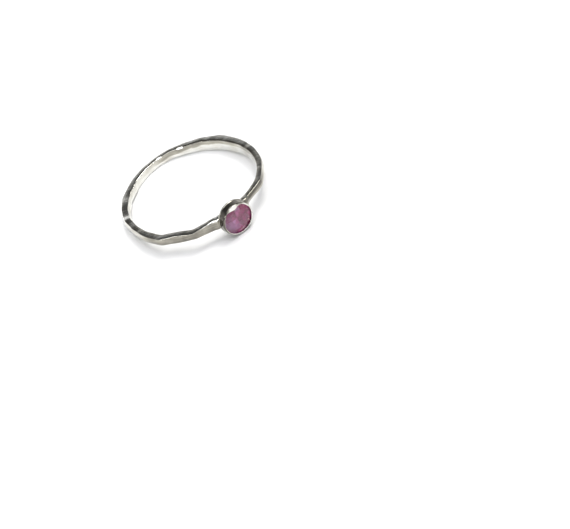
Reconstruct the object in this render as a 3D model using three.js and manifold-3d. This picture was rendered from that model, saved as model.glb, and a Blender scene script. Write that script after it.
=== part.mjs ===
// A slim hammered silver stacking ring with one round faceted pink stone in a plain tube setting.
// Two solids: the soldered silver (band, solder foot and cup) and the stone that sits loose in the cup.
// Units are millimetres. The ring's own frame has its axis on Z, the upper rim of the band at height 0
// and the setting at angle 0, on +X. At the end the ring is laid down as it rests on a table.

import * as THREE from 'three';
import { mergeVertices } from 'three/addons/utils/BufferGeometryUtils.js';
import { ConvexGeometry } from 'three/addons/geometries/ConvexGeometry.js';
import Module from 'manifold-3d';

// Band: one row for each soft kink between two hammered flats, counted anticlockwise from the setting
const bandSections = [
  { angle: 14, outer: 9.74, inner: 9.06, top: 0.04, bottom: -1.14 },
  { angle: 24, outer: 9.84, inner: 9.10, top: 0.00, bottom: -1.02 },
  { angle: 35, outer: 10.26, inner: 9.32, top: 0.00, bottom: -1.14 },
  { angle: 47, outer: 10.14, inner: 9.35, top: 0.01, bottom: -1.32 },
  { angle: 62, outer: 10.17, inner: 9.30, top: 0.00, bottom: -1.46 },
  { angle: 79, outer: 10.07, inner: 9.12, top: 0.02, bottom: -1.58 },
  { angle: 97, outer: 10.08, inner: 8.98, top: 0.00, bottom: -1.68 },
  { angle: 118, outer: 10.29, inner: 9.02, top: 0.00, bottom: -1.74 },
  { angle: 136, outer: 10.15, inner: 9.08, top: 0.02, bottom: -1.62 },
  { angle: 151, outer: 10.10, inner: 9.06, top: -0.02, bottom: -1.34 },
  { angle: 166, outer: 10.21, inner: 9.42, top: 0.00, bottom: -1.28 },
  { angle: 178, outer: 10.15, inner: 9.42, top: 0.02, bottom: -1.18 },
  { angle: 190, outer: 10.19, inner: 9.36, top: 0.00, bottom: -1.18 },
  { angle: 204, outer: 10.18, inner: 9.22, top: 0.00, bottom: -1.18 },
  { angle: 225, outer: 10.26, inner: 9.14, top: -0.03, bottom: -1.12 },
  { angle: 240, outer: 10.26, inner: 9.18, top: 0.00, bottom: -1.20 },
  { angle: 255, outer: 10.28, inner: 9.28, top: 0.02, bottom: -1.36 },
  { angle: 269, outer: 10.16, inner: 9.22, top: 0.00, bottom: -1.42 },
  { angle: 282, outer: 10.26, inner: 9.26, top: -0.02, bottom: -1.24 },
  { angle: 299, outer: 10.54, inner: 9.44, top: 0.02, bottom: -1.10 },
  { angle: 312, outer: 9.98, inner: 8.96, top: 0.00, bottom: -1.26 },
  { angle: 326, outer: 10.25, inner: 9.18, top: -0.02, bottom: -1.06 },
  { angle: 338, outer: 9.68, inner: 8.84, top: 0.04, bottom: -1.32 },
  { angle: 350, outer: 9.62, inner: 8.78, top: 0.08, bottom: -1.42 },
];
const kinkShare = 0.16;       // share of each flat that is taken up by the soft kink at either end
const crown = 0.12;           // bulge of the outer wall between its two edges
const outerEdgeRadius = 0.12;
const innerEdgeRadius = 0.10;
const edgeSteps = 3;

// Setting: a closed cup on the band, its axis along +X. Distances along it are from the ring's axis
const settingHeight = -0.88;  // height of the cup's axis in the ring's own frame
const cupBase = 9.46;
const cupLip = 10.72;
const cupRadius = 2.28;
const cupFlange = 0.05;       // the cup's base stands this much proud of its wall
const flangeWidth = 0.20;
const lipRadius = 2.06;       // opening of the lip that is folded over the stone
const lipThickness = 0.12;
const footDepth = 0.42;       // solder between the cup and the band
const footRadius = 1.95;
const roundSegments = 40;

// Stone: a shallow round cut with a table, a crown, a girdle and a pavilion
const stoneRadius = 2.12;
const tableRadius = 1.24;
const crownMidRadius = 1.75;
const girdleThickness = 0.08;
const crownHeight = 0.30;
const pavilionDepth = 0.52;
const stoneTable = 10.76;     // distance of the table from the ring's axis
const stoneSides = 8;
const stoneGap = 0.05;        // clearance of the stone in its pocket

// Rest: the setting is wider than the band, so the ring leans on the cup and on the back of the band
const restTilt = 5.82;        // degrees, lifts the setting's side of the band
const restRoll = 1.20;        // degrees about the setting's axis
const wornDepth = 0.06;       // depth of the worn flats where it touches the table

const silver = new THREE.MeshStandardMaterial({ color: 0xc9c7c0, roughness: 0.18, metalness: 1.0 });
const pinkStone = new THREE.MeshStandardMaterial({ color: 0xb05a86, roughness: 0.06, metalness: 0.0 });

const radians = THREE.MathUtils.degToRad;
const wasm = await Module();
wasm.setup();

function toManifold(geometry) {
  const bare = geometry.clone();
  bare.deleteAttribute('normal');
  bare.deleteAttribute('uv');
  const merged = mergeVertices(bare, 1e-5);
  return new wasm.Manifold(new wasm.Mesh({
    numProp: 3,
    vertProperties: new Float32Array(merged.attributes.position.array),
    triVerts: new Uint32Array(merged.index.array),
  }));
}

function toGeometry(solid) {
  const mesh = solid.getMesh();
  const geometry = new THREE.BufferGeometry();
  geometry.setAttribute('position', new THREE.BufferAttribute(mesh.vertProperties, 3));
  geometry.setIndex(new THREE.BufferAttribute(mesh.triVerts, 1));
  geometry.computeVertexNormals();
  return geometry;
}

// Outline of one section as (radius, height) pairs: a rectangle with round edges and a crowned outer face
function sectionOutline({ outer, inner, top, bottom }) {
  const face = outer - crown;
  const middle = (top + bottom) / 2;
  const corners = [
    { radius: outerEdgeRadius, r: face - outerEdgeRadius, z: bottom + outerEdgeRadius, start: -90 },
    { radius: outerEdgeRadius, r: face - outerEdgeRadius, z: top - outerEdgeRadius, start: 0 },
    { radius: innerEdgeRadius, r: inner + innerEdgeRadius, z: top - innerEdgeRadius, start: 90 },
    { radius: innerEdgeRadius, r: inner + innerEdgeRadius, z: bottom + innerEdgeRadius, start: 180 },
  ];
  const outline = [];
  corners.forEach((corner, index) => {
    for (let step = 0; step <= edgeSteps; step++) {
      const turn = radians(corner.start + 90 * step / edgeSteps);
      outline.push([corner.r + corner.radius * Math.cos(turn), corner.z + corner.radius * Math.sin(turn)]);
    }
    if (index === 0) outline.push([outer, middle]);
  });
  return outline;
}

function sectionPoints(section) {
  const turn = radians(section.angle);
  return sectionOutline(section).map(([r, z]) => new THREE.Vector3(r * Math.cos(turn), r * Math.sin(turn), z));
}

// The band is a loft through the sections, straight along each flat and cut across at each kink
function bandGeometry() {
  const sections = bandSections.map(sectionPoints);
  const rings = [];
  sections.forEach((points, index) => {
    const next = sections[(index + 1) % sections.length];
    for (const share of [kinkShare, 1 - kinkShare]) {
      rings.push(points.map((point, corner) => point.clone().lerp(next[corner], share)));
    }
  });
  const around = rings[0].length;
  const indices = [];
  for (let ring = 0; ring < rings.length; ring++) {
    const nextRing = (ring + 1) % rings.length;
    for (let corner = 0; corner < around; corner++) {
      const nextCorner = (corner + 1) % around;
      const a = ring * around + corner;
      const b = nextRing * around + corner;
      const c = nextRing * around + nextCorner;
      const d = ring * around + nextCorner;
      indices.push(a, b, c, a, c, d);
    }
  }
  const geometry = new THREE.BufferGeometry().setFromPoints(rings.flat());
  geometry.setIndex(indices);
  return geometry;
}

// Turned shapes are drawn as (radius, distance from the ring's axis) and laid along +X
function turned(profile) {
  const points = profile.map(([radius, distance]) => new THREE.Vector2(radius, distance));
  const geometry = new THREE.LatheGeometry(points, roundSegments);
  geometry.rotateZ(-Math.PI / 2);
  geometry.translate(0, 0, settingHeight);
  return geometry;
}

function cupGeometry() {
  const pocket = stoneRadius + stoneGap;
  const girdle = stoneTable - crownHeight;
  const seat = girdle - girdleThickness - 0.12;
  const floor = stoneTable - crownHeight - girdleThickness - pavilionDepth - stoneGap;
  return turned([
    [0, cupBase],
    [cupRadius - 0.06, cupBase],
    [cupRadius + cupFlange, cupBase + 0.08],
    [cupRadius + cupFlange, cupBase + flangeWidth],
    [cupRadius, cupBase + flangeWidth + 0.08],
    [cupRadius, cupLip - 0.24],
    [cupRadius - 0.04, cupLip - 0.11],
    [cupRadius - 0.12, cupLip - 0.02],
    [lipRadius + 0.06, cupLip],
    [lipRadius, cupLip - 0.04],
    [lipRadius, cupLip - lipThickness],
    [pocket, girdle + stoneGap],
    [pocket, seat],
    [stoneRadius - 0.3, seat - stoneGap],
    [0.6, floor],
    [0, floor],
  ]);
}

function footGeometry() {
  const back = cupBase - footDepth;
  return turned([
    [0, back],
    [footRadius * 0.55, back + 0.02],
    [footRadius * 0.85, back + footDepth * 0.45],
    [footRadius, cupBase + 0.02],
    [footRadius, cupBase + 0.1],
    [0, cupBase + 0.1],
  ]);
}

function stoneGeometry() {
  const girdleTop = stoneTable - crownHeight;
  const girdleBottom = girdleTop - girdleThickness;
  const facet = 360 / stoneSides;
  const rows = [
    { radius: tableRadius, distance: stoneTable, sides: stoneSides, turn: 0 },
    { radius: crownMidRadius, distance: girdleTop + crownHeight * 0.58, sides: stoneSides, turn: facet / 2 },
    { radius: stoneRadius, distance: girdleTop, sides: 2 * stoneSides, turn: 0 },
    { radius: stoneRadius, distance: girdleBottom, sides: 2 * stoneSides, turn: 0 },
    { radius: stoneRadius * 0.45, distance: girdleBottom - pavilionDepth * 0.68, sides: stoneSides, turn: 0 },
    { radius: 0, distance: girdleBottom - pavilionDepth, sides: 1, turn: 0 },
  ];
  const points = [];
  for (const row of rows) {
    for (let side = 0; side < row.sides; side++) {
      const turn = radians(row.turn + side * 360 / row.sides);
      const across = row.radius * Math.cos(turn);
      const up = row.radius * Math.sin(turn);
      points.push(new THREE.Vector3(row.distance, across, settingHeight + up));
    }
  }
  return new ConvexGeometry(points);
}

// Lays a geometry down on the table: tilt, roll, then the lift that brings the touching points to height 0
const restTurn = new THREE.Matrix4().makeRotationFromEuler(
  new THREE.Euler(radians(restRoll), -radians(restTilt), 0, 'YXZ'));

const silverSolid = toManifold(bandGeometry())
  .add(toManifold(footGeometry()))
  .add(toManifold(cupGeometry()));
const silverRested = toManifold(toGeometry(silverSolid).applyMatrix4(restTurn));
const box = new THREE.Box3().setFromBufferAttribute(toGeometry(silverRested).attributes.position);
const middle = box.getCenter(new THREE.Vector3());
const shift = new THREE.Matrix4().makeTranslation(-middle.x, -middle.y, -box.min.z - wornDepth);
const tableBlock = new THREE.BoxGeometry(40, 40, 10);
tableBlock.translate(0, 0, -5);
const silverFinal = toManifold(toGeometry(silverRested).applyMatrix4(shift)).subtract(toManifold(tableBlock));

const ring = new THREE.Group();
const silverMesh = new THREE.Mesh(toGeometry(silverFinal), silver);
silverMesh.name = 'silver_ring';
ring.add(silverMesh);
const stoneMesh = new THREE.Mesh(stoneGeometry().applyMatrix4(restTurn).applyMatrix4(shift), pinkStone);
stoneMesh.name = 'pink_stone';
ring.add(stoneMesh);

export default ring;
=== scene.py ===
import math
import random

import bmesh
import bpy
from mathutils import Matrix, Vector


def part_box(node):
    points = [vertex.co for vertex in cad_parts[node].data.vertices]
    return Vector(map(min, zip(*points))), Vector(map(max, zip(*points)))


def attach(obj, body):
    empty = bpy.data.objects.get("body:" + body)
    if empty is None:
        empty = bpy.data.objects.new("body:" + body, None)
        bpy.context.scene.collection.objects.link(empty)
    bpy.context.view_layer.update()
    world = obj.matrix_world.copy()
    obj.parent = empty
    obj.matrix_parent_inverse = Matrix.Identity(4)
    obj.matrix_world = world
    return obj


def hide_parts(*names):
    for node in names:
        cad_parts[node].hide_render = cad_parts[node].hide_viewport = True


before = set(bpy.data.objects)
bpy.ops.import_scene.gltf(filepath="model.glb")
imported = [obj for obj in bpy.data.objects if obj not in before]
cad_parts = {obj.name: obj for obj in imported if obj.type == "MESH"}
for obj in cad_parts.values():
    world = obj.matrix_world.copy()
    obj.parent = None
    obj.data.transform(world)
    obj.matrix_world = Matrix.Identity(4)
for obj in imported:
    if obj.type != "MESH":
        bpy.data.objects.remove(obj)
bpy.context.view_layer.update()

# Units: sizes are in millimetres in the ring's own frame and are turned into metres by place().
# The ring's own frame has its axis on Z, the band's upper rim at height 0 and the setting on +X.
MM = 0.001

# Band: the sections of the part's source, one row for each soft kink between two hammered flats
SECTION_KEYS = ("angle", "outer", "inner", "top", "bottom")
BAND_SECTIONS = [
    (14, 9.74, 9.06, 0.04, -1.14),
    (24, 9.84, 9.10, 0.00, -1.02),
    (35, 10.26, 9.32, 0.00, -1.14),
    (47, 10.14, 9.35, 0.01, -1.32),
    (62, 10.17, 9.30, 0.00, -1.46),
    (79, 10.07, 9.12, 0.02, -1.58),
    (97, 10.08, 8.98, 0.00, -1.68),
    (118, 10.29, 9.02, 0.00, -1.74),
    (136, 10.15, 9.08, 0.02, -1.62),
    (151, 10.10, 9.06, -0.02, -1.34),
    (166, 10.21, 9.42, 0.00, -1.28),
    (178, 10.15, 9.42, 0.02, -1.18),
    (190, 10.19, 9.36, 0.00, -1.18),
    (204, 10.18, 9.22, 0.00, -1.18),
    (225, 10.26, 9.14, -0.03, -1.12),
    (240, 10.26, 9.18, 0.00, -1.20),
    (255, 10.28, 9.28, 0.02, -1.36),
    (269, 10.16, 9.22, 0.00, -1.42),
    (282, 10.26, 9.26, -0.02, -1.24),
    (299, 10.54, 9.44, 0.02, -1.10),
    (312, 9.98, 8.96, 0.00, -1.26),
    (326, 10.25, 9.18, -0.02, -1.06),
    (338, 9.68, 8.84, 0.04, -1.32),
    (350, 9.62, 8.78, 0.08, -1.42),
]
KINK_SHARE = 0.16        # how much of each flat its kinks round off
SOFT_KINK_SHARE = 0.42   # the same where the band bends softly, between two angles
SOFT_FROM, SOFT_TO = 30, 112
CROWN = 0.12             # how far the outer wall bulges below its middle
TOP_CROWN = 0.05         # the same above its middle
TOP_CROWN_FULL = 0.15    # the same where the wall rolls in more, between two angles
FULL_FROM, FULL_TO = 232, 272
RIM_CROWN = 0.022        # how far the rim bulges upwards
OUTER_EDGE = 0.12        # how far the section's edges are rounded
TOP_EDGE = 0.07
INNER_EDGE = 0.10
KINK_STEPS = 6
STATION_PITCH = 0.11
EDGE_STEPS = 9
FACE_STEPS = {"outer": 9, "top": 6, "inner": 8, "bottom": 6}

# Small hammer marks between the kinks
DENT_PITCH = 1.0         # their mean spacing along the band, and its least and most
DENT_SPACING = (0.6, 1.5)
DENT_DEPTH = 0.034
DENT_SEED = 11
UNDER_DENTS = 0.6        # how deep they are inside and underneath, beside the outer wall's
DENT_LEAN = 0.5          # how far they lean along the band for each millimetre of height
DENT_MEET = 0.65         # how far under the rim the outer wall's two rows of marks meet

# How deep the marks are on the rim, by angle
RIM_MARKS = ((0, 1.0), (36, 1.0), (44, 0.25), (60, 0.25), (68, 1.0), (360, 1.0))

# Flat facets struck on the rim's inner edge: middle, half length in degrees, and depth
FACET_KEYS = ("angle", "reach", "depth")
EDGE_FACETS = [
    (155, 4.0, 0.13),
    (175, 3.5, 0.10),
    (128, 3.0, 0.06),
    (196, 5.0, 0.05),
    (334, 9.0, 0.05),
    (22, 9.0, 0.06),
]
FACET_SLOPE = math.radians(27)

# The same on its outer edge
OUTER_FACETS = [
    (343, 7.0, 0.11),
    (26, 4.0, 0.07),
]
OUTER_SLOPE = math.radians(36)
FACET_TRACE = 0.004      # a facet is polished where it is deeper than this
POLISHED_SHARE = 0.25    # how much of the tarnish and painted shade stays on polished metal
RIM_FACING = 0.3         # how far upwards metal faces to count as the rim

# One step up in the rim at a kink: start, end and fade in degrees, rise, and its share below the rim
RIM_STEP = {"start": 249.5, "end": 254.0, "fade": 18.0, "rise": 0.15, "below": 0.7}
STEP_HEIGHTS = (-0.9, -0.2)      # heights between which the step sets in

# Tarnish of the lip with painted light, by angle about the setting's axis: painted dark reflections near 60
# degrees and from 114 to 235, and a bare painted highlight from 80 to 106
LIP_TARNISH_AND_SHEEN = ((0, 0.12), (46, 0.06), (56, 0.50), (72, 0.60), (80, 0.0), (106, 0.0), (114, 0.70), (130, 0.95),
             (205, 0.95), (235, 0.40), (300, 0.12), (360, 0.12))

# Tarnish and painted shade on the band, by angle: painted dark reflections on the outer wall, darkest beside
# the setting, with a painted dark stripe beside the solder joint, and a painted shade on the upper inner wall
STRIPE_AT, STRIPE_SHADE = 27, 0.40
OUTER_TARNISH_AND_SHADE = ((0, 0.62), (12, 0.45), (42, 0.42), (52, 0.22), (100, 0.24), (180, 0.20), (245, 0.10),
               (276, 0.16), (290, 0.58), (312, 0.70), (328, 0.62), (352, 0.62), (360, 0.62))
INNER_TARNISH_AND_SHADE = ((0, 0.45), (60, 0.40), (104, 0.40), (116, 0.56), (170, 0.50), (190, 0.14), (250, 0.10),
               (320, 0.30), (360, 0.45))
# painted dark reflection on the rim's inner half, by angle
RIM_SHADE_BY_ANGLE = ((0, 0.10), (50, 0.10), (75, 0.45), (148, 0.45), (156, 0.0), (270, 0.0), (290, 0.15), (360, 0.10))
STRIPE_REACH = (14, 22)          # degrees between which the stripe fades
STRIPE_HEIGHTS = (-0.75, -0.45)  # heights between which it sets in
PALE_HEIGHTS = (-0.72, -0.58)    # heights between which the inner wall turns pale below its painted shade
PALE_WAVE = 0.16                 # how far that line wanders up and down
RIM_SHADE_REACH = (0.15, 0.50)   # how far across the rim its painted shade fades
BASE_STAIN = 0.06
INNER_BASE = 0.03
# tarnish and painted dark reflection over the whole rim
RIM_TARNISH_AND_SHADE = 0.14
STAIN_SPREAD = 0.12              # how much the stain varies along the band

# Solder that fills the step between the band's outer wall and the setting
SOLDER_RISE = 0.19
SOLDER_LIFT = 0.3                # how much of its rise also lifts the rim
SOLDER_START = (1.95, 2.30)      # to each side it sets in between these, and fades between those
SOLDER_END = (2.40, 3.15)

# Setting, as in the part's source
SETTING_HEIGHT = -0.88
CUP_BASE = 9.46
CUP_LIP = 10.72
CUP_RADIUS = 2.28
CUP_FLANGE = 0.05
FLANGE_WIDTH = 0.20
FOOT_DEPTH = 0.42
FOOT_RADIUS = 1.95
TURNED_SEGMENTS = 200

# Lip of the cup, which is folded over the stone
LIP_RADIUS = 2.06
LIP_THICKNESS = 0.18
LIP_UNEVEN = 0.008       # how far the cup's edge wanders, and how often around it
LIP_WAVES = (2, 3, 5, 8, 13)
LIP_FOLD = 0.38          # how much further the lip is pressed over the stone at one place
LIP_FOLD_RISE = 0.14     # how much it rises there, on the stone's slope
LIP_FOLD_SPREAD = 0.07   # how much further out its flat face starts there
LIP_FOLD_TURN = 91.0     # where that is, in degrees about the setting's axis
LIP_FOLD_REACH = 35.0

# Tarnish of the setting, from 0 bright to 1 dark, with painted light and shade on its wall and lip
POCKET_PATINA = 0.05
FLANGE_PATINA = 0.22
FOOT_PATINA = 0.55
# the wall's tarnish, deepened to a painted dark reflection
WALL_TARNISH_AND_SHADE = 0.72
LEFT_SHADE = 0.38       # how much darker the wall is on its left, as a painted dark reflection
LEFT_START = (95, 125)   # the turns between which its left side starts and ends
LEFT_END = (215, 240)
SHEEN_START = (125, 145)  # from these turns on the lip's inner edge carries a painted highlight
SHEEN_WIDTH = (0.03, 0.11)
SHEEN_SHARE = 0.75
LIP_BLEND = (0.10, 0.02)         # how far under the lip the wall's tone gives way to the lip's

# Stone: sizes as in the part's source
STONE_RADIUS = 2.12
TABLE_RADIUS = 1.24
CROWN_MID_RADIUS = 1.75
CROWN_MID_SHARE = 0.58
GIRDLE_THICKNESS = 0.08
CROWN_HEIGHT = 0.30
PAVILION_DEPTH = 0.52
PAVILION_ROWS = ((0.72, 0.46), (0.40, 0.88))     # shares of the stone's radius and of that depth
STONE_TABLE = 10.76
STONE_SIDES = 8
SECTOR = 360 / STONE_SIDES
STONE_GAP = 0.05

# Stone: the table as it is cut here, how far it lies off the middle and which way
CUT_TABLE_RADIUS = 1.42
CUT_TABLE_SHIFT = 0.22
CUT_TABLE_TURN = math.radians(158)
TABLE_MIDDLE = Vector((CUT_TABLE_SHIFT * math.cos(CUT_TABLE_TURN),
                       SETTING_HEIGHT + CUT_TABLE_SHIFT * math.sin(CUT_TABLE_TURN)))
EDGE_WIDTH = 0.022       # how far the cut's edges are eased

# Stone: tones of its facets, from 0 deep to 1 pale, which paint each facet's reflection
STONE_SEED = 5
PAINTED_LIGHT_TURN = math.radians(190)   # the side that the painted light brightens, about the setting's axis
TONE_FALL = 0.20         # how much the painted light raises the tone from its middle to that side
TABLE_TONE = 0.60
TONE_SPREAD = 0.08
CROWN_TONES = (0.20, 0.20, 0.40, 0.45, 0.55, 0.40, 0.25, 0.30)     # painted reflections, every 45 degrees from turn 0
STAR_REACH = 1.56        # the facets beside the table have their middles this near the table's middle
STAR_TONES = (0.30, 1.10, 0.40, 0.50, 0.60, 0.45, 0.20, 0.75)      # painted reflections, every 45 degrees from turn 22.5; the brightest is a painted highlight
BACK_TONES = (0.50, 1.00, 0.35, 0.50, 1.00, 0.65, 0.25, 0.35)      # painted reflections, the same, behind the girdle
BACK_INNER, BACK_DROP = 0.90, 0.20      # the facets within this radius are painted this much darker
BACK_OUTER, BACK_RISE = 1.75, 0.35      # and those beyond this one this much lighter

# Rest: how the ring lies on the table
REST_TILT = math.radians(5.82)
REST_ROLL = math.radians(1.20)
REST_TURN = Matrix.Rotation(-REST_TILT, 4, "Y") @ Matrix.Rotation(REST_ROLL, 4, "X")

# Camera: read off the photograph's view of the band's rim, in the ring's own frame
VIEW_TILT = math.radians(49.773)      # between the ring's axis and the camera's axis
VIEW_ROLL = math.radians(24.648)
SETTING_TURN = math.radians(68.0)     # from the setting to the long axis of the rim as seen
VIEW_DISTANCE = 180.0
FOCAL_PX = 1340.52
CENTRE_PX = (-93.906, 79.425)         # the ring's centre, right and up from the picture's centre
IMAGE_WIDTH = 570
SENSOR_WIDTH = 36.0

# Sky: its parts by height, from 0 level to 1 overhead, and their brightness
SKY_COLOUR = (0.975, 0.98, 1.0, 1)
SKY_SEEN = 1.05          # how bright it is where the camera sees it
OVERHEAD_HEIGHTS = (0.82, 0.95)
OVERHEAD_LIGHT = 2.5
LOW_NEAR = (0.22, 0.36)  # heights where the light near the floor ends, on the near side and the far side
LOW_FAR = (0.24, 0.60)
LOW_LIGHT = 0.65
FAR_SIDE = (0.1, 0.6)    # how directly the sky lies behind the ring where the far side starts
SIDE_SPAN = (0.35, 0.62)
SIDE_LIGHT = 0.30        # light at mid height, at the sides and behind the ring
BACK_LIGHT = 0.08
CLOUD_SCALE = 2.2
CLOUD_SPAN = (0.35, 0.65)
CLOUD_LIGHT = (0.5, 1.5)

# Suns: azimuth, elevation and width in degrees, strength and colour
SUNS = {
    "key": (108, 60, 28, 1.45, (1.0, 0.985, 0.95)),
    "front_left": (-70, 30, 12, 0.35, (1.0, 1.0, 1.0)),
}

# Silver: colours from bright to dark, and the noise that varies them
SILVER_COLOURS = [(0.0, (0.87, 0.87, 0.83)), (0.22, (0.69, 0.675, 0.615)), (0.5, (0.44, 0.42, 0.36)),
                  (1.0, (0.12, 0.11, 0.095))]
MOTTLE_SCALE = 700
MOTTLE_DEPTH = 0.5
STREAK_DEPTH = 0.55
STREAK_BUMP = 0.022
GRAIN_ALONG = 0.35       # how closely the streaks follow one another along the band, and across it
GRAIN_ACROSS = 5.0
GRAIN_ROUND = 0.5        # and around the setting
WEAR_SCALE = 1500
WEAR_SPAN = (0.35, 0.70)
WEAR_ROUGHNESS = (0.05, 0.16)
PIT_SCALE = 1500
PIT_BUMP = 0.05
SCRATCH_SCALE = 9000
SCRATCH_STRETCH = (1.0, 0.12, 0.5)
SCRATCH_BUMP = 0.004

# Stone: colours for its painted facet reflections, from deep to pale, in front and at the back
STONE_COLOURS = [(0.10, (0.84, 0.06, 0.34)), (0.45, (0.78, 0.20, 0.44)), (0.75, (0.75, 0.46, 0.70)),
                 (1.0, (0.98, 0.78, 0.96))]
STONE_BACK_COLOURS = [(0.05, (0.20, 0.06, 0.10)), (0.40, (0.56, 0.20, 0.38)), (0.90, (0.88, 0.68, 0.92))]
SILK_SCALE = 620
SILK_DEPTH = 0.4


def turn_point(angle, radius, height):
    return Vector((radius * math.cos(angle), radius * math.sin(angle), height))


def stone_points(table=TABLE_RADIUS, shift=0.0):
    """Corners of the cut, as in the part's source, or with another table that lies off its middle."""
    girdle_top = STONE_TABLE - CROWN_HEIGHT
    girdle_bottom = girdle_top - GIRDLE_THICKNESS
    (upper_share, upper_depth), (lower_share, lower_depth) = PAVILION_ROWS
    rows = [
        (table, STONE_TABLE, STONE_SIDES, 0, shift),
        (CROWN_MID_RADIUS, girdle_top + CROWN_HEIGHT * CROWN_MID_SHARE, STONE_SIDES, SECTOR / 2, shift / 2),
        (STONE_RADIUS, girdle_top, 2 * STONE_SIDES, 0, 0),
        (STONE_RADIUS, girdle_bottom, 2 * STONE_SIDES, 0, 0),
        (STONE_RADIUS * upper_share, girdle_bottom - PAVILION_DEPTH * upper_depth,
         2 * STONE_SIDES, SECTOR / 4, 0),
        (STONE_RADIUS * lower_share, girdle_bottom - PAVILION_DEPTH * lower_depth, STONE_SIDES, 0, 0),
        (0, girdle_bottom - PAVILION_DEPTH, 1, 0, 0),
    ]
    points = []
    for radius, distance, sides, start, off in rows:
        off_y = off * math.cos(CUT_TABLE_TURN)
        off_z = off * math.sin(CUT_TABLE_TURN)
        for side in range(sides):
            angle = math.radians(start + side * 360 / sides)
            points.append(Vector((distance, off_y + radius * math.cos(angle),
                                  SETTING_HEIGHT + off_z + radius * math.sin(angle))))
    return points


def rest_shift():
    """Where the ring's own frame lies in the row frame: the stone's solid shows it."""
    low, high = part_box("pink_stone")
    turned = [REST_TURN @ point for point in stone_points()]
    shift = Vector((0, 0, 0))
    for axis in range(3):
        values = [point[axis] for point in turned]
        shift[axis] = (low[axis] + high[axis]) / 2 / MM - (min(values) + max(values)) / 2
    return shift


SHIFT = rest_shift()
PLACE = Matrix.Diagonal((MM, MM, MM, 1)) @ Matrix.Translation(SHIFT) @ REST_TURN


def place(point):
    """From the ring's own frame, in millimetres, to the row frame, in metres, and never under the table."""
    placed = PLACE @ point
    placed.z = max(placed.z, 0.0)
    return placed


def mesh_piece(name, points, faces, tarnish_and_painted_light, grain):
    """A mesh from points in the ring's own frame, with two values a point: tarnish with painted light and
    shade, from 0 bright to 1 dark, and grain, the place in the streaks that run lengthwise in the metal."""
    mesh = bpy.data.meshes.new(name)
    mesh.from_pydata([place(point) for point in points], [], faces)
    mesh.update()
    mesh.attributes.new("tarnish_and_painted_light", "FLOAT", "POINT").data.foreach_set("value", tarnish_and_painted_light)
    flat_grain = [value for spot in grain for value in spot]
    mesh.attributes.new("grain", "FLOAT_VECTOR", "POINT").data.foreach_set("vector", flat_grain)
    piece = bpy.data.objects.new(name, mesh)
    bpy.context.scene.collection.objects.link(piece)
    shape = bmesh.new()
    shape.from_mesh(mesh)
    bmesh.ops.recalc_face_normals(shape, faces=shape.faces)
    shape.to_mesh(mesh)
    shape.free()
    for polygon in mesh.polygons:
        polygon.use_smooth = True
    return piece


# Band


def rounded_outline(outer, inner, top, bottom, top_crown):
    """One section as a list of (radius, height, outward radius, outward height)."""
    middle = (top + bottom) / 2
    corners = [
        ("outer", OUTER_EDGE, outer - CROWN - OUTER_EDGE, bottom + OUTER_EDGE, -90),
        ("top", TOP_EDGE, outer - top_crown - TOP_EDGE, top - TOP_EDGE, 0),
        ("inner", INNER_EDGE, inner + INNER_EDGE, top - INNER_EDGE, 90),
        ("bottom", INNER_EDGE, inner + INNER_EDGE, bottom + INNER_EDGE, 180),
    ]
    outline = []
    for index, (next_face, radius, centre_r, centre_z, start) in enumerate(corners):
        for step in range(EDGE_STEPS + 1):
            angle = math.radians(start + 90 * step / EDGE_STEPS)
            out_r, out_z = math.cos(angle), math.sin(angle)
            outline.append((centre_r + radius * out_r, centre_z + radius * out_z, out_r, out_z))
        following = corners[(index + 1) % 4]
        end = outline[-1]
        next_angle = math.radians(following[4])
        begin = (following[2] + following[1] * math.cos(next_angle),
                 following[3] + following[1] * math.sin(next_angle))
        count = FACE_STEPS[next_face]
        for step in range(1, count):
            share = step / count
            r = end[0] + (begin[0] - end[0]) * share
            z = end[1] + (begin[1] - end[1]) * share
            if next_face == "outer":
                crown, edge = (top_crown, top - TOP_EDGE) if z > middle else (CROWN, bottom + OUTER_EDGE)
                r = outer - crown * ((z - middle) / (edge - middle)) ** 2
            if next_face == "top":
                z += RIM_CROWN * (1 - (2 * share - 1) ** 2)
            outline.append((r, z, end[2], end[3]))
    return outline


def hammer_marks(length, rng):
    """A closed line of straight stretches: heights at uneven places along the band."""
    places = []
    at = 0.0
    while at < length - DENT_PITCH * DENT_SPACING[0]:
        places.append((at, rng.uniform(-1, 1)))
        at += DENT_PITCH * rng.uniform(*DENT_SPACING)
    places.append((length, places[0][1]))

    def height(where):
        where %= length
        for (start, low), (end, high) in zip(places, places[1:]):
            if where <= end:
                return low + (high - low) * (where - start) / (end - start)
        return places[0][1]

    return height


def band_stations(sections, softness):
    """Points around the band: straight along each flat, a soft curve at each kink."""
    stations = []
    count = len(sections)
    for index in range(count):
        before, here, after = sections[index - 1], sections[index], sections[(index + 1) % count]
        soft, next_soft = softness[index], softness[(index + 1) % count]
        spacing = (here[0] - after[0]).length
        kink_steps = max(KINK_STEPS, round(2 * soft * spacing / STATION_PITCH))
        for step in range(kink_steps):
            share = step / kink_steps
            ring = []
            for p0, p1, p2 in zip(before, here, after):
                start = p1.lerp(p0, soft)
                end = p1.lerp(p2, soft)
                ring.append(start.lerp(p1, share).lerp(p1.lerp(end, share), share))
            stations.append(ring)
        flat = 1 - soft - next_soft
        steps = max(2, round(flat * spacing / STATION_PITCH))
        for step in range(steps):
            share = soft + flat * step / steps
            stations.append([p1.lerp(p2, share) for p1, p2 in zip(here, after)])
    return stations


def ease(value, low, high):
    """0 up to low, 1 from high, and smooth between them."""
    share = min(max((value - low) / (high - low), 0.0), 1.0)
    return share * share * (3 - 2 * share)


def between(table, angle):
    """Reads a table of (angle, value) rows, with a smooth change from one row to the next."""
    for (start, low), (end, high) in zip(table, table[1:]):
        if angle <= end:
            return low + (high - low) * ease(angle, start, end)
    return table[-1][1]


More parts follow.
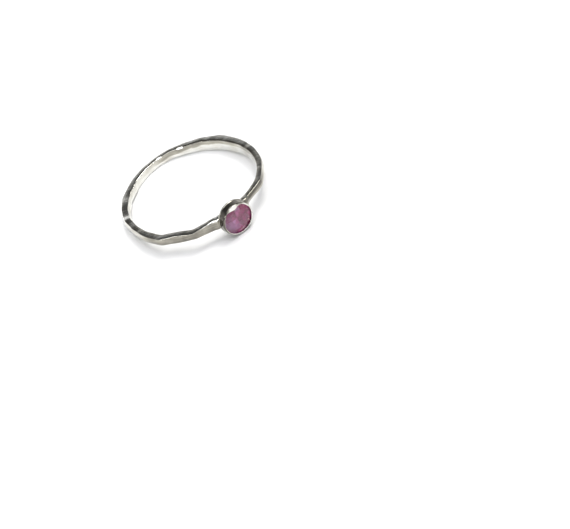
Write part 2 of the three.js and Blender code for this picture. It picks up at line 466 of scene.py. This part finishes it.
def band_tarnish_and_shade(point, angle, out_r, out_z, across, stain, wave):
    """Tarnish with painted shade: a paler lower half inside under a painted shade on the upper inner wall,
    painted dark reflections on the outer wall with a painted dark stripe beside the setting, and a painted
    dark reflection along the rim's inner half, over uneven tarnish.
    """
    pale_low, pale_high = (height + PALE_WAVE * wave for height in PALE_HEIGHTS)
    # painted shade on the upper inner wall, above a paler lower half
    upper = ease(point.z, pale_low, pale_high)
    inside = max(-out_r, 0) ** 2 * (INNER_BASE + between(INNER_TARNISH_AND_SHADE, angle) * upper)
    # painted dark stripe on the outer wall beside the setting
    stripe = STRIPE_SHADE * (1 - ease(abs(angle - STRIPE_AT), *STRIPE_REACH)) * ease(point.z, *STRIPE_HEIGHTS)
    outside = max(out_r, 0) ** 2 * (between(OUTER_TARNISH_AND_SHADE, angle) + stripe)
    # painted dark reflection on the rim
    rim = max(out_z, 0) ** 2 * (RIM_TARNISH_AND_SHADE + between(RIM_SHADE_BY_ANGLE, angle) * (1 - ease(across, *RIM_SHADE_REACH)))
    return min(max(BASE_STAIN + rim + inside + outside + STAIN_SPREAD * stain, 0), 1)


def edge_facet(facets, slope, angle, from_top, from_edge):
    """How far a point is pushed in by the facets on one edge of the rim."""
    push = 0.0
    for row in facets:
        facet = dict(zip(FACET_KEYS, row))
        away = abs((angle - facet["angle"] + 180) % 360 - 180)
        depth = facet["depth"] * (1 - ease(away, facet["reach"] * 0.5, facet["reach"]))
        reach = from_edge * math.sin(slope) + from_top * math.cos(slope)
        push = max(push, depth - reach)
    return push


def solder_fillet(point):
    """How far the outer wall swells towards the setting's flange."""
    if point.x < 0:
        return 0.0
    return SOLDER_RISE * ease(abs(point.y), *SOLDER_START) * (1 - ease(abs(point.y), *SOLDER_END))


def rim_step(angle):
    """The rim falls slowly, steps up, and falls back."""
    start, end, fade, rise, below = (RIM_STEP[key] for key in ("start", "end", "fade", "rise", "below"))
    if start <= angle <= end:
        return rise * ((angle - start) / (end - start) - below)
    if angle < start:
        return -below * rise * (1 - ease(start - angle, 0, fade))
    return (1 - below) * rise * (1 - ease(angle - end, 0, fade))


def band_sections():
    """The sections as rings of points, and which way each point of a ring faces."""
    sections = []
    for row in BAND_SECTIONS:
        section = dict(zip(SECTION_KEYS, row))
        angle = section.pop("angle")
        crown = TOP_CROWN_FULL if FULL_FROM < angle < FULL_TO else TOP_CROWN
        outline = rounded_outline(**section, top_crown=crown)
        sections.append([turn_point(math.radians(angle), r, z) for r, z, _, _ in outline])
    return sections, [(out_r, out_z) for _, _, out_r, out_z in outline]


def mark_push(marks, point, out_r, out_z, angle, travelled):
    """How far the hammer marks push a point, as a share of their depth."""
    leaning = travelled + point.z * DENT_LEAN
    mix = min(max(0.5 + point.z + DENT_MEET, 0), 1)
    push = max(out_r, 0) ** 2 * (mix * marks["upper"](leaning) + (1 - mix) * marks["lower"](leaning))
    push += max(out_z, 0) ** 2 * marks["top"](travelled) * between(RIM_MARKS, angle)
    push += max(-out_r, 0) ** 2 * marks["inner"](travelled) * UNDER_DENTS
    push += max(-out_z, 0) ** 2 * marks["bottom"](travelled) * UNDER_DENTS
    return push


def tube_faces(total, around):
    """Faces of a closed tube, from one ring of points to the next and back to the first."""
    faces = []
    for ring in range(total):
        following = (ring + 1) % total
        for corner in range(around):
            beside = (corner + 1) % around
            faces.append((ring * around + corner, following * around + corner,
                          following * around + beside, ring * around + beside))
    return faces


def hammered_band():
    sections, outward = band_sections()
    softness = [SOFT_KINK_SHARE if SOFT_FROM < row[0] < SOFT_TO else KINK_SHARE for row in BAND_SECTIONS]
    stations = band_stations(sections, softness)
    length = sum((a[0] - b[0]).length for a, b in zip(stations, stations[1:] + stations[:1]))
    rng = random.Random(DENT_SEED)
    marks = {name: hammer_marks(length, rng) for name in ("upper", "lower", "top", "inner", "bottom")}
    stains = hammer_marks(length, rng)
    waves = hammer_marks(length, rng)
    upwards = Vector((0, 0, 1))
    points = []
    tarnish_and_painted_light = []
    grain = []
    travelled = 0.0
    for index, ring in enumerate(stations):
        if index:
            travelled += (ring[0] - stations[index - 1][0]).length
        angle = math.degrees(math.atan2(ring[0].y, ring[0].x)) % 360
        rim_height = max(point.z for point in ring)
        radii = [math.hypot(point.x, point.y) for point in ring]
        inner_radius, outer_radius = min(radii), max(radii)
        step = rim_step(angle)
        for point, (out_r, out_z) in zip(ring, outward):
            flat = Vector((point.x, point.y, 0)).normalized()
            radius = Vector((point.x, point.y)).length
            across = radius - inner_radius
            from_top = rim_height - point.z
            push = mark_push(marks, point, out_r, out_z, angle, travelled)
            moved = point + (flat * out_r + upwards * out_z) * push * DENT_DEPTH
            facet = edge_facet(EDGE_FACETS, FACET_SLOPE, angle, from_top, across)
            moved += (flat * math.sin(FACET_SLOPE) - upwards * math.cos(FACET_SLOPE)) * facet
            bevel = edge_facet(OUTER_FACETS, OUTER_SLOPE, angle, from_top, outer_radius - radius)
            moved -= (flat * math.sin(OUTER_SLOPE) + upwards * math.cos(OUTER_SLOPE)) * bevel
            moved.z += step * ease(point.z, *STEP_HEIGHTS)
            moved += (flat * max(out_r, 0) + upwards * (SOLDER_LIFT * out_z)) * solder_fillet(point)
            points.append(moved)
            # tarnish with painted shade and painted dark reflections
            dark = band_tarnish_and_shade(point, angle, out_r, out_z, across, stains(travelled), waves(travelled))
            on_step = out_z > RIM_FACING and RIM_STEP["start"] < angle < RIM_STEP["end"]
            polished = on_step or max(facet, bevel) > FACET_TRACE
            tarnish_and_painted_light.append(dark * (POLISHED_SHARE if polished else 1.0))
            grain.append((point.x * GRAIN_ALONG, point.y * GRAIN_ALONG, (point.z - radius) * GRAIN_ACROSS))
    faces = tube_faces(len(stations), len(outward))
    return mesh_piece("hammered_band", points, faces, tarnish_and_painted_light, grain)


# Setting


def soft_profile(corners, steps=7):
    """A (radius, distance) line whose inner corners are rounded: each row ends with its rounding."""
    line = []
    for index, (radius, distance, rounding) in enumerate(corners):
        here = Vector((radius, distance))
        if index in (0, len(corners) - 1) or rounding == 0:
            line.append(here)
            continue
        before = Vector(corners[index - 1][:2]) - here
        after = Vector(corners[index + 1][:2]) - here
        start = here + before.normalized() * min(rounding, before.length * 0.48)
        end = here + after.normalized() * min(rounding, after.length * 0.48)
        for step in range(steps + 1):
            share = step / steps
            line.append(start.lerp(here, share).lerp(here.lerp(end, share), share))
    return line


def lip_fold(turn):
    """From 0 to 1: how much the lip is pressed over the stone here."""
    return 1 - ease(abs(turn - LIP_FOLD_TURN), 0, LIP_FOLD_REACH)


def turned_piece(name, line, tarnish, uneven=0.0):
    """Turns a (radius, distance) line about the setting's axis; both ends lie on the axis."""
    rng = random.Random(DENT_SEED + 1)
    waves = [(turns, rng.uniform(0, math.tau), rng.uniform(0.4, 1.0)) for turns in LIP_WAVES]
    points = [Vector((line[0].y, 0, SETTING_HEIGHT))]
    for spot in line[1:-1]:
        folded = spot.y > CUP_LIP - LIP_THICKNESS * 1.2 and spot.x < LIP_RADIUS + 0.03
        near_lip = min(max((spot.y - CUP_BASE) / (CUP_LIP - CUP_BASE), 0), 1)
        near_top = ease(spot.y, CUP_LIP - 0.1, CUP_LIP)
        for segment in range(TURNED_SEGMENTS):
            angle = math.tau * segment / TURNED_SEGMENTS
            wave = sum(size * math.sin(turns * angle + start) for turns, start, size in waves)
            fold = lip_fold(math.degrees(angle))
            radius = spot.x + uneven * wave * near_lip
            distance = spot.y
            if folded:
                radius -= LIP_FOLD * fold
                distance += LIP_FOLD_RISE * fold
            else:
                radius += LIP_FOLD_SPREAD * fold * near_top
            points.append(Vector((distance, radius * math.cos(angle),
                                  SETTING_HEIGHT + radius * math.sin(angle))))
    points.append(Vector((line[-1].y, 0, SETTING_HEIGHT)))
    rows = len(line) - 2
    faces = []
    for segment in range(TURNED_SEGMENTS):
        beside = (segment + 1) % TURNED_SEGMENTS
        faces.append((0, 1 + segment, 1 + beside))
        for row in range(rows - 1):
            a = 1 + row * TURNED_SEGMENTS
            b = a + TURNED_SEGMENTS
            faces.append((a + segment, b + segment, b + beside, a + beside))
        last = 1 + (rows - 1) * TURNED_SEGMENTS
        faces.append((last + segment, len(points) - 1, last + beside))
    grain = [(point.x * GRAIN_ACROSS, point.y * GRAIN_ROUND, point.z * GRAIN_ROUND) for point in points]
    return mesh_piece(name, points, faces, [tarnish(point) for point in points], grain)


def cup_tarnish_and_light(point):
    """The cup's wall is tarnished, with a painted dark reflection on its left, its flange is worn, its pocket
    is bright, and its lip carries painted dark reflections and a painted highlight.
    """
    radius = Vector((point.y, point.z - SETTING_HEIGHT)).length
    if radius < LIP_RADIUS + 0.01 and point.x > CUP_BASE + 0.1:
        return POCKET_PATINA
    if point.x < CUP_BASE + FLANGE_WIDTH + 0.02:
        return FLANGE_PATINA
    turn = math.degrees(math.atan2(point.z - SETTING_HEIGHT, point.y)) % 360
    # painted dark reflection on the wall's left side
    left = ease(turn, *LEFT_START) * (1 - ease(turn, *LEFT_END))
    wall = WALL_TARNISH_AND_SHADE + LEFT_SHADE * left
    # painted highlight along the lip's inner edge, on its left
    sheen_from, sheen_to = (LIP_RADIUS + width for width in SHEEN_WIDTH)
    sheen = ease(turn, *SHEEN_START) * (1 - ease(radius, sheen_from, sheen_to))
    # lip tarnish with painted dark reflections and a painted highlight
    lip = between(LIP_TARNISH_AND_SHEEN, turn) * (1 - SHEEN_SHARE * sheen)
    blend_from, blend_to = (CUP_LIP - depth for depth in LIP_BLEND)
    return wall + (lip - wall) * ease(point.x, blend_from, blend_to)


def foot_patina(_):
    return FOOT_PATINA


def bezel_cup():
    pocket = STONE_RADIUS + STONE_GAP
    girdle = STONE_TABLE - CROWN_HEIGHT
    seat = girdle - GIRDLE_THICKNESS - 0.12
    floor = girdle - GIRDLE_THICKNESS - PAVILION_DEPTH - STONE_GAP
    flange = CUP_RADIUS + CUP_FLANGE
    corners = [
        (0, CUP_BASE, 0),
        (flange, CUP_BASE, 0.07),
        (flange, CUP_BASE + FLANGE_WIDTH, 0.05),
        (CUP_RADIUS, CUP_BASE + FLANGE_WIDTH + 0.06, 0.05),
        (CUP_RADIUS, CUP_LIP - 0.16, 0.12),
        (CUP_RADIUS - 0.09, CUP_LIP, 0.09),
        (LIP_RADIUS, CUP_LIP, 0.05),
        (LIP_RADIUS, CUP_LIP - LIP_THICKNESS, 0.02),
        (pocket, girdle + STONE_GAP, 0.02),
        (pocket, seat, 0.02),
        (STONE_RADIUS - 0.3, seat - STONE_GAP, 0.03),
        (0.6, floor, 0.1),
        (0, floor, 0),
    ]
    return turned_piece("bezel_cup", soft_profile(corners), cup_tarnish_and_light, LIP_UNEVEN)


def solder_foot():
    back = CUP_BASE - FOOT_DEPTH
    corners = [
        (0, back, 0),
        (FOOT_RADIUS * 0.55, back + 0.02, 0.3),
        (FOOT_RADIUS * 0.85, back + FOOT_DEPTH * 0.45, 0.3),
        (FOOT_RADIUS + 0.12, CUP_BASE + 0.01, 0.02),
        (FOOT_RADIUS, CUP_BASE + 0.1, 0.02),
        (0, CUP_BASE + 0.1, 0),
    ]
    return turned_piece("solder_foot", soft_profile(corners, steps=12), foot_patina)


def facet_tone(centre):
    """Whether the facet with this centre is a back one, and its tone: a painted reflection, set by where the
    facet lies.
    """
    turn = math.degrees(math.atan2(centre.z - SETTING_HEIGHT, centre.y)) % 360
    sector = int(turn / SECTOR)
    if centre.x < STONE_TABLE - CROWN_HEIGHT - 0.01:
        radius = math.hypot(centre.y, centre.z - SETTING_HEIGHT)
        if radius < BACK_INNER:
            return True, BACK_TONES[sector] - BACK_DROP
        if radius > BACK_OUTER:
            return True, BACK_TONES[sector] + BACK_RISE
        return True, BACK_TONES[sector]
    if centre.x > STONE_TABLE - 0.02:
        return False, TABLE_TONE
    if (centre.yz - TABLE_MIDDLE).length < STAR_REACH:
        return False, STAR_TONES[sector]
    return False, CROWN_TONES[round(turn / SECTOR) % STONE_SIDES]


def cut_stone():
    shape = bmesh.new()
    for point in stone_points(CUT_TABLE_RADIUS, CUT_TABLE_SHIFT):
        shape.verts.new(place(point))
    bmesh.ops.convex_hull(shape, input=shape.verts)
    bmesh.ops.dissolve_limit(shape, angle_limit=math.radians(1.0), verts=shape.verts, edges=shape.edges)
    bmesh.ops.bevel(shape, geom=shape.edges, offset=EDGE_WIDTH * MM, segments=1, affect="EDGES")
    bmesh.ops.recalc_face_normals(shape, faces=shape.faces)
    mesh = bpy.data.meshes.new("cut_stone")
    shape.to_mesh(mesh)
    shape.free()
    rng = random.Random(STONE_SEED)
    own = PLACE.inverted()
    tones = []
    for polygon in mesh.polygons:
        back, tone = facet_tone(own @ polygon.center)
        polygon.material_index = int(back)
        tone += rng.uniform(-TONE_SPREAD, TONE_SPREAD)
        for corner in polygon.vertices:
            spot = own @ mesh.vertices[corner].co
            # the tone rises towards one side as painted light
            along = spot.y * math.cos(PAINTED_LIGHT_TURN) + (spot.z - SETTING_HEIGHT) * math.sin(PAINTED_LIGHT_TURN)
            tones.append(tone + TONE_FALL * along / STONE_RADIUS)
    mesh.attributes.new("facet_tone", "FLOAT", "CORNER").data.foreach_set("value", tones)
    stone = bpy.data.objects.new("cut_stone", mesh)
    bpy.context.scene.collection.objects.link(stone)
    return stone


# Materials


def node_material(name):
    material = bpy.data.materials.new(name)
    material.use_nodes = True
    nodes, links = material.node_tree.nodes, material.node_tree.links
    return material, nodes, links, nodes["Principled BSDF"]


def object_noise(nodes, links, scale, detail, stretch=(1, 1, 1)):
    where = nodes.new("ShaderNodeTexCoord")
    mapping = nodes.new("ShaderNodeMapping")
    mapping.inputs["Scale"].default_value = stretch
    noise = nodes.new("ShaderNodeTexNoise")
    noise.inputs["Scale"].default_value = scale
    noise.inputs["Detail"].default_value = detail
    links.new(where.outputs["Object"], mapping.inputs["Vector"])
    links.new(mapping.outputs["Vector"], noise.inputs["Vector"])
    return noise.outputs["Fac"]


def ramp(nodes, links, source, stops):
    colours = nodes.new("ShaderNodeValToRGB")
    elements = colours.color_ramp.elements
    while len(elements) < len(stops):
        elements.new(0.5)
    for element, (position, colour) in zip(elements, stops):
        element.position = position
        element.color = (*colour, 1)
    links.new(source, colours.inputs["Fac"])
    return colours.outputs["Color"]


def arithmetic(nodes, links, operation, *terms):
    node = nodes.new("ShaderNodeMath")
    node.operation = operation
    for socket, term in zip(node.inputs, terms):
        if isinstance(term, (int, float)):
            socket.default_value = term
        else:
            links.new(term, socket)
    return node.outputs["Value"]


def attribute(nodes, name):
    node = nodes.new("ShaderNodeAttribute")
    node.attribute_name = name
    return node


def change(nodes, links, source, span, values=(0.0, 1.0), kind="SMOOTHSTEP"):
    """From the first value to the second while the source goes through the span."""
    step = nodes.new("ShaderNodeMapRange")
    step.interpolation_type = kind
    for socket, value in zip(("From Min", "From Max", "To Min", "To Max"), (*span, *values)):
        step.inputs[socket].default_value = value
    links.new(source, step.inputs["Value"])
    return step.outputs["Result"]


def grain_noise(nodes, links, scale, detail):
    noise = nodes.new("ShaderNodeTexNoise")
    noise.inputs["Scale"].default_value = scale
    noise.inputs["Detail"].default_value = detail
    links.new(attribute(nodes, "grain").outputs["Vector"], noise.inputs["Vector"])
    return noise.outputs["Fac"]


def add_bump(nodes, links, source, distance, strength, before=None):
    bump = nodes.new("ShaderNodeBump")
    bump.inputs["Strength"].default_value = strength
    bump.inputs["Distance"].default_value = distance * MM
    links.new(source, bump.inputs["Height"])
    if before is not None:
        links.new(before.outputs["Normal"], bump.inputs["Normal"])
    return bump


def silver_material():
    material, nodes, links, shader = node_material("hammered_silver")
    shader.inputs["Metallic"].default_value = 1.0
    mottle = object_noise(nodes, links, MOTTLE_SCALE, 5)
    streaks = grain_noise(nodes, links, 1.0, 4)
    dark = arithmetic(nodes, links, "MULTIPLY_ADD", mottle, MOTTLE_DEPTH, -MOTTLE_DEPTH / 2)
    dark = arithmetic(nodes, links, "MULTIPLY_ADD", streaks, STREAK_DEPTH, dark)
    # tarnish with painted light and shade darkens the base colour
    dark = arithmetic(nodes, links, "ADD", dark, attribute(nodes, "tarnish_and_painted_light").outputs["Fac"])
    dark = arithmetic(nodes, links, "ADD", dark, -STREAK_DEPTH / 2)
    links.new(ramp(nodes, links, dark, SILVER_COLOURS), shader.inputs["Base Color"])
    wear = object_noise(nodes, links, WEAR_SCALE, 5)
    rough = change(nodes, links, wear, WEAR_SPAN, WEAR_ROUGHNESS, "LINEAR")
    links.new(rough, shader.inputs["Roughness"])
    pits = object_noise(nodes, links, PIT_SCALE, 2)
    scratches = object_noise(nodes, links, SCRATCH_SCALE, 2, stretch=SCRATCH_STRETCH)
    bump = add_bump(nodes, links, pits, PIT_BUMP, 0.6)
    bump = add_bump(nodes, links, streaks, STREAK_BUMP, 0.8, bump)
    bump = add_bump(nodes, links, scratches, SCRATCH_BUMP, 0.25, bump)
    links.new(bump.outputs["Normal"], shader.inputs["Normal"])
    return material


def stone_tone(nodes, links, colours):
    """The facet's tone, a painted reflection, with a little silk, turned into a colour."""
    silk = object_noise(nodes, links, SILK_SCALE, 4)
    silk = arithmetic(nodes, links, "MULTIPLY_ADD", silk, SILK_DEPTH, -SILK_DEPTH / 2)
    tone = arithmetic(nodes, links, "ADD", attribute(nodes, "facet_tone").outputs["Fac"], silk)
    return ramp(nodes, links, tone, colours)


def stone_material():
    material, nodes, links, shader = node_material("pink_cut_stone")
    shader.inputs["Transmission Weight"].default_value = 0.87
    shader.inputs["IOR"].default_value = 1.72
    shader.inputs["Specular IOR Level"].default_value = 0.2
    shader.inputs["Roughness"].default_value = 0.015
    links.new(stone_tone(nodes, links, STONE_COLOURS), shader.inputs["Base Color"])
    return material


def stone_back_material():
    """The stone's lower facets as metal with painted reflections, standing in for the light that comes back
    from inside a closed setting.
    """
    material, nodes, links, shader = node_material("pink_stone_back")
    shader.inputs["Metallic"].default_value = 1.0
    shader.inputs["Roughness"].default_value = 0.5
    links.new(stone_tone(nodes, links, STONE_BACK_COLOURS), shader.inputs["Base Color"])
    return material


def floor_material():
    material, nodes, links, shader = node_material("pale_floor")
    shader.inputs["Base Color"].default_value = (0.92, 0.92, 0.92, 1)
    shader.inputs["Roughness"].default_value = 0.9
    shader.inputs["Specular IOR Level"].default_value = 0.1
    return material


def dress(piece, material):
    piece.data.materials.append(material)
    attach(piece, "root")


silver = silver_material()
band = hammered_band()
cup = bezel_cup()
foot = solder_foot()
for piece in (band, cup, foot):
    dress(piece, silver)
    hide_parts("silver_ring")
stone = cut_stone()
dress(stone, stone_material())
stone.data.materials.append(stone_back_material())
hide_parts("pink_stone")


# Camera


def photo_camera():
    own_from_fit = Matrix.Rotation(SETTING_TURN, 4, "Z")
    fit_to_camera = Matrix.Rotation(VIEW_ROLL, 4, "Z") @ Matrix.Rotation(-VIEW_TILT, 4, "X")
    ray = Vector((CENTRE_PX[0], CENTRE_PX[1], -FOCAL_PX)).normalized()
    fit_to_camera = Matrix.Translation(ray * VIEW_DISTANCE) @ fit_to_camera
    camera_in_own = own_from_fit @ fit_to_camera.inverted()
    camera_in_row = Matrix.Translation(SHIFT) @ REST_TURN @ camera_in_own
    data = bpy.data.cameras.new("camera")
    data.sensor_fit = "HORIZONTAL"
    data.sensor_width = SENSOR_WIDTH
    data.lens = FOCAL_PX * SENSOR_WIDTH / IMAGE_WIDTH
    data.clip_start = 0.005
    data.clip_end = 10
    camera = bpy.data.objects.new("camera", data)
    bpy.context.scene.collection.objects.link(camera)
    camera.location = camera_in_row.translation * MM
    camera.rotation_mode = "QUATERNION"
    camera.rotation_quaternion = camera_in_row.to_quaternion()
    bpy.context.scene.camera = camera
    return camera


camera = photo_camera()
towards = camera.rotation_quaternion.to_matrix() @ Vector((0, 0, 1))
away = -Vector((towards.x, towards.y, 0)).normalized()


# Floor, lights and world


def floor():
    bpy.ops.mesh.primitive_plane_add(size=4, location=(0, 0, 0))
    plane = bpy.context.object
    plane.name = "floor"
    plane.data.materials.append(floor_material())


def direction(azimuth, elevation):
    """A unit vector to a light: azimuth from +X in degrees, elevation over the floor."""
    turn, rise = math.radians(azimuth), math.radians(elevation)
    return Vector((math.cos(turn) * math.cos(rise), math.sin(turn) * math.cos(rise), math.sin(rise)))


def round_light(name, towards_light, width, strength, colour):
    """A soft round light at a great distance, as wide as width degrees in the sky."""
    data = bpy.data.lights.new(name, "SUN")
    data.angle = math.radians(width)
    data.energy = strength
    data.color = colour
    light = bpy.data.objects.new(name, data)
    bpy.context.scene.collection.objects.link(light)
    light.location = towards_light
    light.rotation_mode = "QUATERNION"
    light.rotation_quaternion = towards_light.to_track_quat("Z", "Y")


def studio_sky(far_side):
    """Bright overhead, dim at mid height, pale near the floor and further up on the far side."""
    world = bpy.data.worlds.new("studio")
    bpy.context.scene.world = world
    world.use_nodes = True
    nodes, links = world.node_tree.nodes, world.node_tree.links
    background = nodes["Background"]
    where = nodes.new("ShaderNodeTexCoord").outputs["Generated"]
    split = nodes.new("ShaderNodeSeparateXYZ")
    links.new(where, split.inputs["Vector"])
    height = split.outputs["Z"]
    dot = nodes.new("ShaderNodeVectorMath")
    dot.operation = "DOT_PRODUCT"
    dot.inputs[1].default_value = far_side
    links.new(where, dot.inputs[0])
    facing = dot.outputs["Value"]
    far = change(nodes, links, facing, FAR_SIDE)
    near = arithmetic(nodes, links, "SUBTRACT", 1.0, far)
    low_near = change(nodes, links, height, LOW_NEAR, (LOW_LIGHT, 0.0))
    low_near = arithmetic(nodes, links, "MULTIPLY", low_near, near)
    low_far = change(nodes, links, height, LOW_FAR, (LOW_LIGHT, 0.0))
    low_far = arithmetic(nodes, links, "MULTIPLY", low_far, far)
    light = arithmetic(nodes, links, "ADD", low_near, low_far)
    overhead = change(nodes, links, height, OVERHEAD_HEIGHTS, (0.0, OVERHEAD_LIGHT))
    light = arithmetic(nodes, links, "ADD", light, overhead)
    noise = nodes.new("ShaderNodeTexNoise")
    noise.inputs["Scale"].default_value = CLOUD_SCALE
    links.new(where, noise.inputs["Vector"])
    clouds = change(nodes, links, noise.outputs["Fac"], CLOUD_SPAN, CLOUD_LIGHT)
    side = change(nodes, links, facing, SIDE_SPAN, (SIDE_LIGHT, BACK_LIGHT))
    middle = arithmetic(nodes, links, "MULTIPLY", clouds, side)
    light = arithmetic(nodes, links, "ADD", light, middle)
    seen = nodes.new("ShaderNodeMix")
    seen.data_type = "FLOAT"
    links.new(nodes.new("ShaderNodeLightPath").outputs["Is Camera Ray"], seen.inputs[0])
    links.new(light, seen.inputs[2])
    seen.inputs[3].default_value = SKY_SEEN
    links.new(seen.outputs[0], background.inputs["Strength"])
    background.inputs["Color"].default_value = SKY_COLOUR


floor()
studio_sky(away)
for sun, (azimuth, elevation, width, strength, colour) in SUNS.items():
    round_light(sun, direction(azimuth, elevation), width, strength, colour)
bpy.context.scene.view_settings.view_transform = "Standard"

bpy.context.view_layer.update()
